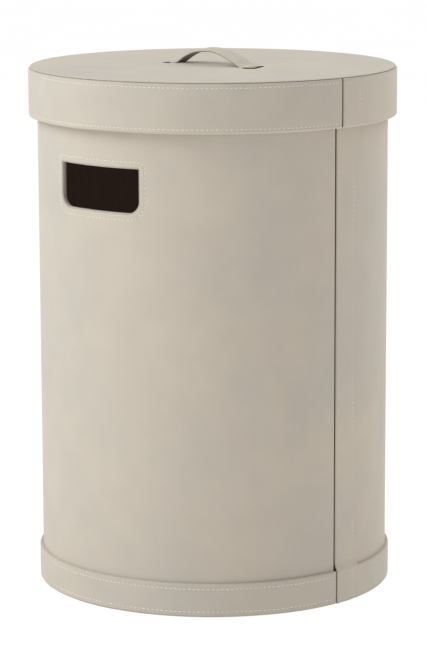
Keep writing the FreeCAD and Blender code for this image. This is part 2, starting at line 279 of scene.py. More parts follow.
class Profile:
    """A line of straight runs and tangent arcs in (radius, height). at(v, h) is the point at length v,
    moved h along the left-hand normal."""

    def __init__(self, corners, radii):
        points = [np.array(corners[0], float)]
        for before, corner, after, radius in zip(corners, corners[1:], corners[2:], radii):
            before, corner, after = (np.array(p, float) for p in (before, corner, after))
            a = (before - corner) / np.linalg.norm(before - corner)
            b = (after - corner) / np.linalg.norm(after - corner)
            half = math.acos(np.clip(a @ b, -1, 1)) / 2
            reach = radius / math.tan(half)
            centre = corner + (a + b) / np.linalg.norm(a + b) * radius / math.sin(half)
            start, end = corner + a * reach, corner + b * reach
            first, last = start - centre, end - centre
            turn = math.atan2(first[0] * last[1] - first[1] * last[0], first @ last)
            for share in np.linspace(0, 1, 9):
                c, s = math.cos(turn * share), math.sin(turn * share)
                points.append(centre + np.array([first[0] * c - first[1] * s, first[0] * s + first[1] * c]))
        points.append(np.array(corners[-1], float))
        self.points = np.array(points)
        steps = np.linalg.norm(np.diff(self.points, axis=0), axis=1)
        keep = np.concatenate([[True], steps > 1e-9])
        self.points = self.points[keep]
        steps = np.linalg.norm(np.diff(self.points, axis=0), axis=1)
        self.length_at = np.concatenate([[0], np.cumsum(steps)])
        self.length = self.length_at[-1]
        direction = unit(np.gradient(self.points, self.length_at, axis=0))
        self.normals = np.stack([-direction[:, 1], direction[:, 0]], 1)

    def at(self, v, h):
        point, normal = (along(v, self.length_at, values) for values in (self.points, self.normals))
        return point + unit(normal) * np.asarray(h)[:, None]

    def lines(self, step, fine=()):
        """Grid lines that follow the arcs closely."""
        marks = list(self.length_at) + close_marks(fine)
        for a, b in zip(self.length_at, self.length_at[1:]):
            marks += list(np.linspace(a, b, int((b - a) // step) + 2))
        return thinned(set(np.round(marks, 7)), 0, self.length, 0.08 * MM)


def profile_place(profile):
    def place(u, v, h):
        rz = profile.at(v, h)
        return on_cylinder(u, rz[:, 0], rz[:, 1])
    return place


def furrow_place(profile, thick):
    """Where stitches lie on a cover of that thickness, down in their furrow."""
    place = profile_place(profile)
    return lambda u, v, h: place(u, v, h + thick - ROW_DIP)


def on_surface(u, _):
    """Heights for the side of a sheet that lies on the piece beneath."""
    return np.zeros(len(u))


def wrapped(name, profile, start, end, radius, outer, inner, step=4 * MM, edge=1.0 * MM, fine=(), fine_u=()):
    """A sheet that follows a profile and runs round the axis from one angle to another. outer and inner
    give the heights of its two faces over (angle, length)."""
    closed = end - start > TAU - 1e-6
    us = lines(start, end, step / radius, 0 if closed else edge / radius, fine_u)
    flat = Flat()
    flat.grid(us, profile.lines(step, fine), closed)
    u, v, _ = flat.arrays()
    return shell(name, flat, outer(u, v), inner(u, v), profile_place(profile))


# ---- stitches
THREAD_R = 0.40 * MM
STITCH_PITCH = 5.0 * MM
STITCH_LENGTH = 3.6 * MM
TENSION_SPAN = 23                    # stitches from one slack stretch of a row to the next


def stitch_row(name, spots, body, seed, sunk=lambda centre: 0.0):
    """One object of thread stitches. Each spot is (centre, tangent, normal) on the surface, and sunk gives
    how much of a stitch there is pulled into the cover, from 0 to 1."""
    draw = np.random.RandomState(seed)
    sides, rings = 7, 7
    points, faces = [], []
    phase = draw.uniform(0, TAU)
    for number, (centre, tangent, normal) in enumerate(spots):
        across = np.cross(normal, tangent)
        lean = draw.normal(0, 0.035)
        tangent = tangent * math.cos(lean) + across * math.sin(lean)
        across = np.cross(normal, tangent)
        centre = centre + across * draw.normal(0, 0.08 * MM)
        length = STITCH_LENGTH * draw.uniform(0.9, 1.04)
        tension = 0.6 + 0.42 * math.sin(TAU * number / TENSION_SPAN + phase) + draw.uniform(-0.3, 0.3)
        depth = max(sunk(centre), tension)
        lift = 0.34 - 0.42 * max(depth, 0)
        thick = THREAD_R * (1 - 0.25 * max(depth, 0))
        base = len(points)
        for i in range(rings):
            share = i / (rings - 1) * 2 - 1
            rise = (lift - 0.72 * share ** 4) * MM
            fat = thick * (1 - 0.35 * share ** 4) * (1 + 0.06 * math.sin(9 * share))
            middle = centre + tangent * (share * length / 2) + normal * rise
            for k in range(sides):
                a = TAU * k / sides
                points.append(middle + across * (math.cos(a) * fat * 1.15) + normal * (math.sin(a) * fat))
        faces += tube_faces(sides, rings, base)
        faces.append(tuple(base + k for k in reversed(range(sides))))
        faces.append(tuple(base + (rings - 1) * sides + k for k in range(sides)))
    obj = add_mesh(name, points, faces, 60)
    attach(obj, body)
    obj.data.materials.append(THREAD)


def pulled_in_at_sides(centre):
    """The rows are pulled deep into the cover just past the closing strip, and past the left hand hole."""
    angle = math.atan2(centre[1], centre[0])
    if 0 <= angle - STRIP_RIGHT < math.radians(60):
        return 1.5
    if angle > math.radians(120):
        return 1.4 * float(np.clip((math.radians(172) - angle) / math.radians(18), 0, 1))
    return 0.0


def pulled_in_beside_hole(centre):
    """Down both sides of a hand hole the thread lies deeper than along its top and bottom."""
    return 1.0 if abs(centre[2] - HOLE_Z) < HOLE_RISE - 2 * MM else 0.0


def mostly_pulled_in(centre):
    return 1.45 + 0.35 * math.sin(55 * centre[2])


def spots_along(place, us, vs):
    """Stitch places along a line given as arrays of pattern coordinates on a place(u, v, h) surface."""
    ground = place(us, vs, np.zeros(len(us)))
    above = place(us, vs, np.full(len(us), 0.5 * MM))
    steps = np.linalg.norm(np.diff(ground, axis=0), axis=1)
    length = np.concatenate([[0], np.cumsum(steps)])
    count = int(round(length[-1] / STITCH_PITCH))
    marks = (np.arange(count) + 0.5) * length[-1] / count
    centre = along(marks, length, ground)
    up = unit(along(marks, length, above - ground))
    tangent = unit(along(marks + 0.2 * MM, length, ground) - along(marks - 0.2 * MM, length, ground))
    up = unit(up - tangent * np.sum(up * tangent, axis=1)[:, None])
    return list(zip(centre, tangent, up))


# ---- materials
def srgb(r, g, b):
    def linear(c):
        c /= 255
        return ((c + 0.055) / 1.055) ** 2.4 if c > 0.04045 else c / 12.92
    return (linear(r), linear(g), linear(b), 1.0)


class Nodes:
    """Short hand for building a node material."""

    def __init__(self, name):
        self.material = bpy.data.materials.new(name)
        self.material.use_nodes = True
        self.tree = self.material.node_tree
        self.shader = self.tree.nodes["Principled BSDF"]
        self.where = self.tree.nodes.new("ShaderNodeTexCoord").outputs["Object"]

    def put(self, item, socket):
        """Gives a socket a value, or the output of another node."""
        if isinstance(item, (int, float, tuple)):
            socket.default_value = item
        else:
            self.tree.links.new(item, socket)

    def node(self, kind, items, **settings):
        """A new node with these settings, and these items in its inputs."""
        node = self.tree.nodes.new("ShaderNode" + kind)
        for key, value in settings.items():
            setattr(node, key, value)
        for key, item in items.items():
            self.put(item, node.inputs[key])
        return node.outputs

    def noise(self, scale, detail=3.0, roughness=0.5, where=None, distortion=0.0):
        return self.node("TexNoise", {"Scale": scale, "Detail": detail, "Roughness": roughness,
                                      "Distortion": distortion, "Vector": where or self.where})["Fac"]

    def cells(self, scale, feature="F1", where=None):
        return self.node("TexVoronoi", {"Scale": scale, "Vector": where or self.where},
                         feature=feature)["Distance"]

    def height(self):
        return self.node("SeparateXYZ", {0: self.where})["Z"]

    def stretch(self, scale):
        return self.node("Mapping", {"Scale": scale, "Vector": self.where})["Vector"]

    def span(self, fac, low_in, high_in, low_out, high_out):
        return self.node("MapRange", {"From Min": low_in, "From Max": high_in, "To Min": low_out,
                                      "To Max": high_out, "Value": fac})["Result"]

    def math(self, kind, a, b):
        return self.node("Math", {0: a, 1: b}, operation=kind)[0]

    def mix(self, fac, a, b, blend="MIX"):
        return self.node("Mix", {0: fac, 6: a, 7: b}, data_type="RGBA", blend_type=blend)[2]

    def scale(self, vector, factor):
        return self.node("VectorMath", {0: vector, "Scale": factor}, operation="SCALE")[0]

    def bump(self, height, distance, strength=1.0, before=None):
        items = {"Strength": strength, "Distance": distance, "Height": height}
        if before is not None:
            items["Normal"] = before
        return self.node("Bump", items)["Normal"]

    def set(self, **values):
        for key, item in values.items():
            self.put(item, self.shader.inputs[key.replace("_", " ")])


def leather_look(name, colour, shade=1.0, grain=1.0):
    """Matte coated fabric with a nubuck-like face: cloudy tone, fine pebbled grain, a little sheen."""
    n = Nodes(name)
    cloud = n.noise(9.0, 4.0, 0.55, distortion=0.6)
    patch = n.noise(34.0, 3.0, 0.6)
    fleck = n.noise(420.0, 2.0, 0.6)
    tone = n.math("ADD", n.span(cloud, 0.3, 0.7, -0.045, 0.045), n.span(patch, 0.3, 0.7, -0.022, 0.022))
    tone = n.math("ADD", tone, n.span(fleck, 0.3, 0.7, -0.012, 0.012))
    tone = n.math("ADD", tone, shade)
    red, green, blue = colour
    warm = n.mix(n.span(cloud, 0.35, 0.65, 0.0, 1.0), srgb(*colour), srgb(red, green - 2, blue - 5))
    pebble = n.cells(900.0)
    creases = n.noise(260.0, 4.0, 0.6)
    grain_height = n.math("ADD", n.math("MULTIPLY", pebble, 0.5), n.math("MULTIPLY", creases, 0.7))
    normal = n.bump(grain_height, 0.00022 * grain, 0.55)
    normal = n.bump(patch, 0.0006, 0.25, normal)
    # Painted shade: the cover darkens towards the floor, and most at its bottom edge as a painted contact
    # shadow.
    painted_floor_shade = n.math("MULTIPLY", n.span(n.height(), 0.0, 0.14, LOW_PAINTED_SHADE, 1.0),
                  n.span(n.height(), 0.6 * MM, 2.4 * MM, CONTACT_PAINTED_SHADOW, 1.0))
    n.set(Base_Color=n.scale(n.scale(warm, tone), painted_floor_shade), Roughness=n.span(fleck, 0.3, 0.7, 0.68, 0.8))
    n.set(Normal=normal, Sheen_Weight=0.12, Sheen_Roughness=0.5, Sheen_Tint=(1.0, 0.97, 0.93, 1.0))
    n.set(Specular_IOR_Level=0.3)
    return n.material


def thread_look():
    n = Nodes("stitch_thread")
    twist = n.noise(1500.0, 2.0)
    n.set(Base_Color=n.mix(n.span(twist, 0.3, 0.7, 0.0, 1.0), srgb(230, 224, 211), srgb(246, 242, 233)))
    n.set(Roughness=0.7, Normal=n.bump(twist, 0.0002, 0.6), Sheen_Weight=0.2)
    return n.material


def woven_look(name, dark, light, count=900.0, glow=0.0):
    """A plain woven cloth. glow stands for the light that seeps into a closed bin."""
    n = Nodes(name)
    threads = n.node("TexWave", {"Scale": count / TAU, "Vector": n.where}, bands_direction="Z")["Fac"]
    slub = n.noise(160.0, 3.0, where=n.stretch((1, 1, 0.15)))
    fuzz = n.noise(1800.0, 2.0)
    weave = n.math("ADD", n.math("MULTIPLY", threads, 0.5), n.math("MULTIPLY", fuzz, 0.7))
    n.set(Base_Color=n.mix(n.math("MULTIPLY", n.math("ADD", weave, slub), 0.5), srgb(*dark), srgb(*light)))
    n.set(Roughness=0.88, Normal=n.bump(weave, 0.0003, 0.6), Sheen_Weight=0.08, Specular_IOR_Level=0.25)
    n.set(Emission_Color=srgb(*light), Emission_Strength=glow)
    return n.material


def felt_look():
    n = Nodes("underside_felt")
    fibres = n.noise(1100.0, 5.0, 0.7, distortion=1.5)
    blotch = n.noise(60.0, 3.0)
    mixed = n.math("ADD", n.math("MULTIPLY", fibres, 0.7), n.math("MULTIPLY", blotch, 0.3))
    n.set(Base_Color=n.mix(mixed, srgb(52, 47, 43), srgb(98, 91, 84)))
    n.set(Roughness=0.95, Normal=n.bump(fibres, 0.0004, 0.7), Sheen_Weight=0.25, Specular_IOR_Level=0.2)
    return n.material


def board_look():
    n = Nodes("board")
    layers = n.noise(220.0, 3.0, where=n.stretch((1, 1, 6)))
    specks = n.noise(900.0, 2.0)
    mottle = n.math("MULTIPLY", n.math("ADD", layers, specks), 0.5)
    n.set(Base_Color=n.mix(mottle, srgb(52, 44, 36), srgb(84, 72, 60)))
    n.set(Roughness=0.9, Normal=n.bump(specks, 0.0002, 0.5), Specular_IOR_Level=0.25)
    return n.material


def foam_look():
    n = Nodes("padding")
    cells = n.cells(1400.0)
    n.set(Base_Color=n.mix(cells, srgb(206, 200, 188), srgb(236, 232, 224)))
    n.set(Roughness=0.95, Normal=n.bump(cells, 0.0003, 0.6))
    return n.material


def steel_look():
    n = Nodes("staple_steel")
    drawn = n.noise(500.0, 3.0, where=n.stretch((1, 8, 8)))
    n.set(Base_Color=n.mix(drawn, (0.42, 0.42, 0.43, 1), (0.62, 0.62, 0.63, 1)))
    n.set(Metallic=1.0, Roughness=n.span(drawn, 0.3, 0.7, 0.3, 0.45))
    return n.material


LOW_PAINTED_SHADE = 0.94                     # painted shade: tone of the cover near the floor, against higher up
CONTACT_PAINTED_SHADOW = 0.6                      # painted contact shadow: tone of the very edge that stands on the floor
COVER_COLOUR = (201, 192, 179)
THREAD = thread_look()
LEATHER = leather_look("cover_material", COVER_COLOUR)
STRIP_LEATHER = leather_look("cover_strip", COVER_COLOUR, 1.01)
STRAP_LEATHER = leather_look("strap_material", (200, 191, 176), 0.99, 1.2)
LINING_FABRIC = woven_look("dark_lining", (92, 74, 66), (132, 108, 98), glow=0.055)
FELT = felt_look()
# Dark cloth for cut edges: partly the cover's raw edge, partly painted shade in the strap slots.
RAW_EDGE_AND_SLOT_SHADE = woven_look("raw_edge_and_slot_shade", (44, 34, 27), (72, 58, 48))
# A darker copy of the strap leather for its underside: painted shade.
STRAP_UNDERSIDE_SHADE = leather_look("strap_underside_shade", (126, 112, 96), 0.98, 1.6)
BOARD = board_look()
FOAM = foam_look()
STEEL = steel_look()


def dress(obj, material, slot, body, *nodes):
    """Material, material slot (not used), body and the CAD nodes that the piece stands for."""
    obj.data.materials.clear()
    obj.data.materials.append(material)
    if nodes:
        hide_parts(*nodes)
    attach(obj, body)


# ---- body cover
def rounded_box(points, half, rise, corner_of):
    """Puts points of a unit square's edge on a rectangle with rounded corners. corner_of gives the corner
    radius for a point's height."""
    placed = []
    for x, y in points:
        px, py = x * half, y * rise
        corner = corner_of(py)
        cx, cy = half - corner, rise - corner
        if abs(px) > cx and abs(py) > cy:
            away = np.array([abs(px) - cx, abs(py) - cy])
            away = away / max(np.linalg.norm(away), 1e-9) * corner
            px, py = math.copysign(cx + away[0], px), math.copysign(cy + away[1], py)
        placed.append((px, py))
    return placed


def hole_outline(points, grow):
    """The hand hole's outline, grown by that much all round."""
    return rounded_box(points, HOLE_HALF + grow, HOLE_RISE + grow,
                       lambda y: (HOLE_CORNER if y < 0 else HOLE_TOP_CORNER) + grow)


HOLE_CENTRES = (math.pi, 0.0)
PATCH_HALF = HOLE_HALF + 13 * MM     # the finer patch of grid round a hand hole
PATCH_RISE = HOLE_RISE + 13 * MM
PATCH_STEP = 2.2 * MM


def holed_tube(radius, start, end, z_low, z_high, rings, step, edge):
    """A pattern in (angle, height) with both hand holes. rings are the distances of its lines from a hole."""
    closed = end - start > TAU - 1e-6
    half_angle = math.asin(PATCH_HALF / radius)
    patch_low, patch_high = HOLE_Z - PATCH_RISE, HOLE_Z + PATCH_RISE
    stops = [centre + side * half_angle for centre in sorted(HOLE_CENTRES) for side in (-1, 1)]
    us = joined([start, *stops, end], [s / radius for s in (step, PATCH_STEP, step, PATCH_STEP, step)])
    if not closed:
        reaches = [share * edge / radius for share in (*EDGE_LINES, 3.0)]
        us = np.sort([*us, *(start + reach for reach in reaches), *(end - reach for reach in reaches)])
    vs = joined([z_low, patch_low, patch_high, z_high], [step, PATCH_STEP, step])
    blocks = [(nearest(us, centre - half_angle), nearest(us, centre + half_angle), nearest(vs, patch_low),
               nearest(vs, patch_high)) for centre in HOLE_CENTRES]
    flat = Flat()
    index = flat.grid(us, vs, closed, blocks)
    hole_distance = {}
    for centre, block in zip(HOLE_CENTRES, blocks):
        ring = flat.boundary(index, *block)
        square = [(math.sin(flat.u[k] - centre) * radius / PATCH_HALF, (flat.v[k] - HOLE_Z) / PATCH_RISE)
                  for k in ring]
        for grow in rings:
            spots = [(centre + math.asin(x / radius), HOLE_Z + y) for x, y in hole_outline(square, grow)]
            ring = flat.loop(ring, spots)
            hole_distance.update({k: grow for k in ring})
    return flat, flat.distances(hole_distance)


FOLD_ROUND = 1.1 * MM                # where the cover rolls over into the groove
BUTT_ROUND = 0.12 * MM               # where it butts against the strip's other edge
ROW_DIP = 0.2 * MM                   # depth of the furrow that a row of stitches pulls into the cover


def folded_edge(distance, radius):
    """The folded edge beside the groove stands up a little before it rolls over."""
    return 0.32 * MM * hump(distance - 2.0 * MM, 1.7 * MM) - round_edge(distance, radius)


def furrow(distance, width=1.1 * MM):
    """How far a row of stitches pulls the cover in."""
    return ROW_DIP * hump(distance, width)


STITCH_FROM_HOLE = 6.0 * MM
COVER_START = STRIP_RIGHT
COVER_END = STRIP_LEFT - GROOVE_ANGLE + TAU
body_waves = soft_waves(3, 0.28 * MM)


def body_place(u, v, h):
    return on_cylinder(u, TUBE_R + h, v)


def make_body_cover():
    rings = [8.5, 7.2, 6.6, 6.0, 5.4, 4.8, 3.2, 1.8, 1.0, 0.5, 0.134, 0.0]
    flat, hole = holed_tube(TUBE_R, COVER_START, COVER_END, COVER, TUBE_TOP, [r * MM for r in rings], 6 * MM,
                            FOLD_ROUND)
    u, v, _ = flat.arrays()
    from_groove = (COVER_END - u) * TUBE_R
    from_strip = (u - COVER_START) * TUBE_R
    height = np.full(len(u), COVER) + body_waves(u, v) * np.clip(from_strip / 0.03, 0, 1)
    height += folded_edge(from_groove, FOLD_ROUND) - round_edge(from_strip, BUTT_ROUND)
    height -= round_edge(hole, 0.7 * MM) + 0.22 * MM * hump(hole - STITCH_FROM_HOLE, 0.8 * MM)
    height += 0.25 * MM * hump(hole - 2.6 * MM, 2.0 * MM)
    height = np.maximum(height, 0.12 * MM)
    obj = shell("body_cover", flat, height, np.zeros(len(u)), body_place)
    dress(obj, LEATHER, "cover_material", "bin", "outer_cover")


make_body_cover()


# ---- closing strip on the body
STRIP_ROW = math.radians(-88.3)
STRIP_DRAPE = 6 * MM

strip_profile = Profile(
    [(TUBE_R, TUBE_TOP), (TUBE_R, BAND_TOP + STRIP_DRAPE), (BAND_CORE_R, BAND_TOP - 1.0 * MM),
     (BAND_CORE_R, COVER), (TUBE_R, COVER)], [14 * MM, 5 * MM, 0.4 * MM])


def make_seam_strip():
    def outer(u, v):
        h = COVER + folded_edge((u - STRIP_LEFT) * TUBE_R, FOLD_ROUND)
        h -= round_edge((STRIP_RIGHT - u) * TUBE_R, BUTT_ROUND) + furrow((u - STRIP_ROW) * TUBE_R)
        return h + 0.12 * MM * np.sin(v * 31 + 1.0) * np.sin(u * 60)

    def inner(u, v):
        """Above the band the strip's back fills in towards the tube, away from the groove."""
        held_down = np.clip(((u - STRIP_LEFT) * TUBE_R - 2.5 * MM) / (4 * MM), 0, 1)
        r, z = along(v, strip_profile.length_at, strip_profile.points).T
        off_body = np.where(z > BAND_TOP, r - TUBE_R - 0.7 * COVER, 0)
        return -held_down * np.clip(off_body, 0, 4 * MM)
    obj = wrapped("seam_strip_cover", strip_profile, STRIP_LEFT, STRIP_RIGHT, TUBE_R, outer, inner,
                  edge=FOLD_ROUND, fine_u=[(STRIP_ROW, 0.9 * MM / TUBE_R)])
    dress(obj, STRIP_LEATHER, "cover_material", "bin", "seam_strip")
    v = np.linspace(4 * MM, TUBE_TOP - BAND_TOP - STRIP_DRAPE - 4 * MM, 900)
    spots = spots_along(furrow_place(strip_profile, COVER), np.full(len(v), STRIP_ROW), v)
    stitch_row("seam_strip_stitches", spots, "bin", 11, mostly_pulled_in)


make_seam_strip()


# ---- base band
def row_round(name, profile, thick, start, end, row, body, seed, *sunk):
    """A row of stitches round the axis, in its furrow in a cover of that thickness."""
    u = np.linspace(start, end, 2400)
    spots = spots_along(furrow_place(profile, thick), u, np.full(len(u), row))
    stitch_row(name, spots, body, seed, *sunk)


BAND_ROW_TOP = BAND_TOP - 5.7 * MM
BAND_ROW_LOW = 6 * MM
BAND_START = STRIP_RIGHT
BAND_END = STRIP_LEFT - BAND_GAP_ANGLE + TAU
band_profile = Profile([(BODY_R - 0.5 * MM, BAND_TOP - COVER), (BAND_CORE_R, BAND_TOP - COVER),
                        (BAND_CORE_R, COVER), (TUBE_R, COVER)], [0.5 * MM, 1.0 * MM])
band_waves = soft_waves(5, 0.2 * MM, (3, 16), (10, 40))


def length_at_z(profile, z, radius):
    """The length along a profile where it is at height z on its outer wall."""
    wall = np.abs(profile.points[:, 0] - radius) < 1e-6
    return float(np.interp(-z, -profile.points[wall, 1], profile.length_at[wall]))


def make_base_band():
    rows = [length_at_z(band_profile, z, BAND_CORE_R) for z in (BAND_ROW_TOP, BAND_ROW_LOW)]

    def outer(u, v):
        from_gap = (BAND_END - u) * BAND_CORE_R
        h = COVER + band_waves(u, v) - round_edge(from_gap, 0.9 * MM)
        h -= sum(furrow(v - row) for row in rows)
        return np.maximum(h, 0.1 * MM)
    obj = wrapped("base_band_wrap", band_profile, BAND_START, BAND_END, BAND_CORE_R, outer, on_surface,
                  step=3 * MM, fine=[(row, 1.0 * MM) for row in rows])
    dress(obj, LEATHER, "cover_material", "bin", "base_band_cover")
    margin = 6 * MM / BAND_R
    for name, row, seed in zip(("base_band_stitches_top", "base_band_stitches_low"), rows, (21, 22)):
        row_round(name, band_profile, COVER, BAND_START + margin, BAND_END - margin, row, "bin", seed,
                  pulled_in_at_sides)


make_base_band()


# ---- lid rim
RIM_ROW_TOP = LID_TOP - 6 * MM
RIM_ROW_LOW = RIM_BOTTOM + 4.7 * MM
LID_STRIP_ROW = math.radians(-89.0)
LID_BOARD_TOP = high("lid_top_board")[2]
RIM_TURN_OVER = 1.8 * MM             # the rim cover is turned over the lid board's edge, under the top cover
RIM_CORNER = 1.2 * MM
rim_profile = Profile([(RIM_CORE_R - RIM_TURN_OVER, LID_BOARD_TOP), (RIM_CORE_R, LID_BOARD_TOP),
                       (RIM_CORE_R, RIM_BOTTOM + COVER), (RIM_INNER_R, RIM_BOTTOM + COVER),
                       (RIM_INNER_R, RIM_TURN_TOP)], [RIM_CORNER, RIM_CORNER, 0.8 * MM])
rim_waves = soft_waves(8, 0.3 * MM, (2, 12), (10, 40))
RIM_TOP_ROUND = 0.3 * MM
RIM_EDGE_ROUND = 1.0 * MM
RIM_END = STRIP_LEFT - math.radians(0.52) + TAU


def make_lid_rim():
    rows = [length_at_z(rim_profile, z, RIM_CORE_R) for z in (RIM_ROW_TOP, RIM_ROW_LOW)]

    def cover_outer(u, v):
        from_strip = (u - COVER_START) * RIM_CORE_R
        h = COVER + rim_waves(u, v) * np.clip(np.minimum(from_strip, v) / 0.02, 0, 1)
        h += folded_edge((RIM_END - u) * RIM_CORE_R, RIM_EDGE_ROUND)
        h -= round_edge(from_strip, BUTT_ROUND) + round_edge(v, RIM_TOP_ROUND)
        h -= sum(furrow(v - row) for row in rows)
        return np.maximum(h, 0.05 * MM)

    def strip_outer(u, v):
        h = COVER + folded_edge((u - STRIP_LEFT) * RIM_CORE_R, RIM_EDGE_ROUND)
        h -= round_edge((STRIP_RIGHT - u) * RIM_CORE_R, BUTT_ROUND) + round_edge(v, RIM_TOP_ROUND)
        h -= furrow((u - LID_STRIP_ROW) * RIM_CORE_R)
        return np.maximum(h, 0.05 * MM)
    top_end = [(0.3 * MM, 0.15 * MM)]
    obj = wrapped("lid_rim_wrap", rim_profile, COVER_START, RIM_END, RIM_CORE_R, cover_outer, on_surface,
                  edge=RIM_EDGE_ROUND, fine=[(row, 1.0 * MM) for row in rows] + top_end)
    dress(obj, LEATHER, "cover_material", "lid", "lid_rim_cover")
    strip = wrapped("lid_strip_wrap", rim_profile, STRIP_LEFT, STRIP_RIGHT, RIM_CORE_R, strip_outer,
                    on_surface, edge=RIM_EDGE_ROUND, fine=top_end,
                    fine_u=[(LID_STRIP_ROW, 0.9 * MM / RIM_CORE_R)])
    dress(strip, STRIP_LEATHER, "cover_material", "lid", "lid_seam_strip")
    margin = 5 * MM / RIM_R
    for name, row, seed in zip(("lid_rim_stitches_top", "lid_rim_stitches_low"), rows, (31, 32)):
        row_round(name, rim_profile, COVER, COVER_START + margin, RIM_END - margin, row, "lid", seed,
                  pulled_in_at_sides)
    v = np.linspace(6 * MM, RIM_TOP - RIM_BOTTOM - 2 * MM, 200)
    spots = spots_along(furrow_place(rim_profile, COVER), np.full(len(v), LID_STRIP_ROW), v)
    stitch_row("lid_strip_stitches", spots, "lid", 33, mostly_pulled_in)


make_lid_rim()


# ---- discs
def disc_pattern(radius, core_x, core_y, step, rim_marks, slots=(), slot_rings=(), reach=0.0):
    """A round pattern: a straight grid in the middle with slots cut in it, then loops out to a circle.
    rim_marks and slot_rings are distances in mm."""
    def marks(half, fine):
        stops = sorted({-half, half, *(s for pair in fine for s in pair)})
        return joined(stops, [SLOT_STEP if any(lo <= a and b <= hi for lo, hi in fine) else step
                              for a, b in zip(stops, stops[1:])])
    half_x, half_y = SLOT_HALF_LENGTH + reach, SLOT_HALF_WIDTH + reach
    xs = marks(core_x, [(-half_x, half_x)] if slots else [])
    ys = marks(core_y, [(y - half_y, y + half_y) for y in slots])
    blocks = [(nearest(xs, -half_x), nearest(xs, half_x), nearest(ys, y - half_y), nearest(ys, y + half_y))
              for y in slots]
    flat = Flat()
    index = flat.grid(xs, ys, blocks=blocks)
    slot_distance = {}
    for y, block in zip(slots, blocks):
        ring = flat.boundary(index, *block)
        square = [(flat.u[k] / half_x, (flat.v[k] - y) / half_y) for k in ring]
        for grow in [r * MM for r in slot_rings]:
            outline = rounded_box(square, SLOT_HALF_LENGTH + grow, SLOT_HALF_WIDTH + grow,
                                  lambda y: SLOT_CORNER + grow)
            ring = flat.loop(ring, [(px, y + py) for px, py in outline])
            slot_distance.update({k: grow for k in ring})
    ring = flat.boundary(index, 0, len(xs) - 1, 0, len(ys) - 1)[::-1]
    core = np.array([(flat.u[k], flat.v[k]) for k in ring])
    target = core / np.linalg.norm(core, axis=1)[:, None] * radius
    count = int((radius - np.hypot(core_x, core_y)) / step)
    for share in np.linspace(0, 1, count + 1)[1:-1]:
        ring = flat.loop(ring, core * (1 - share) + target * share)
    for mark in [m * MM for m in rim_marks]:
        ring = flat.loop(ring, target * (1 - mark / radius), mark)
    return flat, flat.distances(slot_distance)


def flat_place(z):
    def place(u, v, h):
        return np.stack([u, v, z + h], 1)
    return place


lid_waves = soft_waves(13, 0.22 * MM, (1, 2), (10, 22))
SLOT_REACH = 10 * MM
SLOT_SAG = 8 * MM                    # how far from a slot its lip sags
LID_EDGE_ROUND = 1.2 * MM
LID_EDGE_IN = 1.4 * MM
SEAM_RAISE = 0.25 * MM              # the top cover is pared thinner at its edge


def slot_dip(x, y, reach):
    """How far the cover sags at the -Y lip of either strap slot."""
    lip_y = y + SLOT_HALF_WIDTH
    from_slot = np.minimum(np.abs(lip_y + SLOT_OFFSET), np.abs(lip_y - SLOT_OFFSET))
    past = np.maximum((-SLOT_OFFSET - y), (SLOT_OFFSET - y) * (y > 0))
    lip = np.clip(past / SLOT_HALF_WIDTH, 0, 1)
    depth = 0.15 * MM + 1.9 * MM * np.clip(1 - np.abs(x) / SLOT_HALF_LENGTH, 0, 1)
    across = np.clip((SLOT_HALF_LENGTH + 3 * MM - np.abs(x)) / (5 * MM), 0, 1)
    return depth * across * lip * hump(from_slot, reach)


def strap_bed(x, y):
    """How far the cover is pressed down under the two flat ends of the strap."""
    beside = np.clip((STRAP_HALF + 2 * MM - np.abs(x)) / (3 * MM), 0, 1)
    flat_end = np.clip((np.abs(y) - SLOT_OFFSET + 14 * MM) / (6 * MM), 0, 1) * (np.abs(y) < SLOT_OFFSET)
    return 1.2 * MM * beside * flat_end


def slotted_disc(radius, rim_marks, slot_rings):
    """A disc with both strap slots. The marks are distances in mm from its edge and from a slot."""
    return disc_pattern(radius, 42 * MM, SLOT_OFFSET + 22 * MM, 6 * MM, rim_marks,
                        (-SLOT_OFFSET, SLOT_OFFSET), slot_rings, SLOT_REACH)


def make_lid_top():
    flat, slot = slotted_disc(LID_COVER_R - LID_EDGE_IN, (6, 4, 2.8, 2.2, 1.6, 1.1, 0.6, 0.3, 0.08, 0),
                              (8, 6.4, 5, 3.8, 2.8, 2.0, 1.3, 0.8, 0.4, 0.1, 0.0))
    u, v, edge = flat.arrays()
    height = COVER + lid_waves(u * 9, v * 9) * np.clip(edge / 0.02, 0, 1)
    height -= np.minimum(round_edge(edge, LID_EDGE_ROUND), LID_EDGE_ROUND * 0.45)
    dip = np.maximum(slot_dip(u, v, SLOT_SAG), strap_bed(u, v))
    height -= dip + round_edge(slot, 0.35 * MM)
    inner = SEAM_RAISE * np.clip(1 - edge / (2.5 * MM), 0, 1) - dip
    height = np.maximum(height, inner + 0.08 * MM)
    obj = shell("lid_top_leather", flat, height, inner, flat_place(LID_TOP - COVER))
    dress(obj, LEATHER, "cover_material", "lid", "lid_top_cover")
    darken_cut_edges(obj)


def darken_cut_edges(obj):
    """The raw edge of the cover shows inside the strap slots; its dark colour is partly painted shade down in
    the slots.
    """
    obj.data.materials.append(RAW_EDGE_AND_SLOT_SHADE)
    for face in obj.data.polygons:
        x, y, _ = face.center
        beside = max(abs(abs(y) - SLOT_OFFSET) - SLOT_HALF_WIDTH, abs(x) - SLOT_HALF_LENGTH)
        if beside < 0.6 * MM and abs(face.normal.z) < 0.7:
            face.material_index = 1


make_lid_top()


